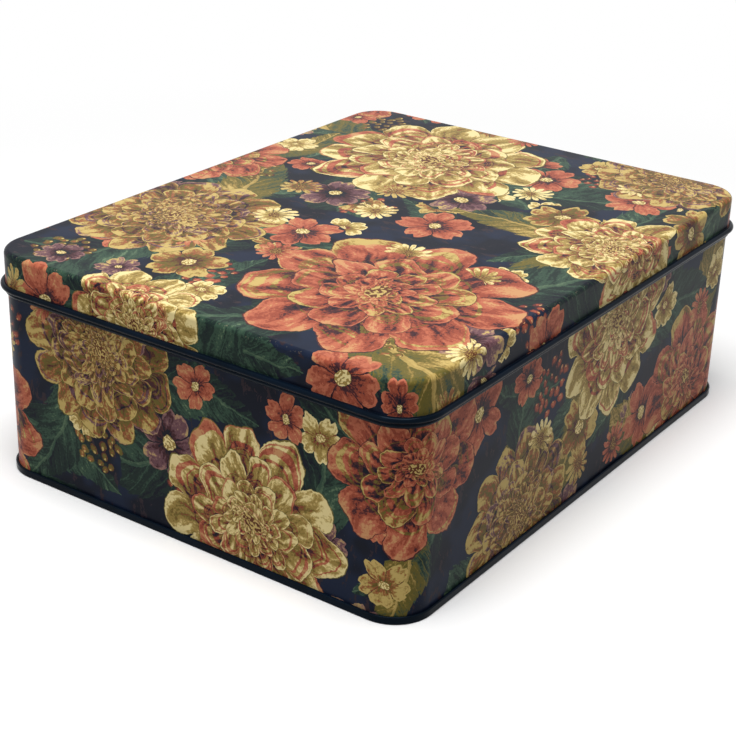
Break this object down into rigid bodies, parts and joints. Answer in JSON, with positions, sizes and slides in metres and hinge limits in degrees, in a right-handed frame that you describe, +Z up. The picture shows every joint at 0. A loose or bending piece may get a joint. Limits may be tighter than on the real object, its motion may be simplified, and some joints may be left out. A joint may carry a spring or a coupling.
{
  "type": "biscuit tin",
  "caption": "Rectangular slip-lid tin of printed tinplate with rounded corners, for keeping biscuits. The lid lifts straight off.",
  "frame": {"origin": "middle of the surface the tin stands on, under the centre of its double seam", "axes": "+X along the tin's long side, +Y towards the side with the lock seam, +Z up, the way the lid lifts off"},
  "size_m": [0.2512, 0.1952, 0.091],
  "materials": {
    "lid_print": "satin",
    "body_print": "satin",
    "base_lacquer": "satin"
  },
  "bodies": {
    "tin": {"body_wall": "body_print", "base_panel": "base_lacquer"},
    "lid": {"lid": "lid_print"}
  },
  "joints": [
    {"name": "lid_lift", "type": "slide", "parent": "tin", "child": "lid", "axis": [0, 0, 1], "range_m": [0, 0.1]}
  ]
}
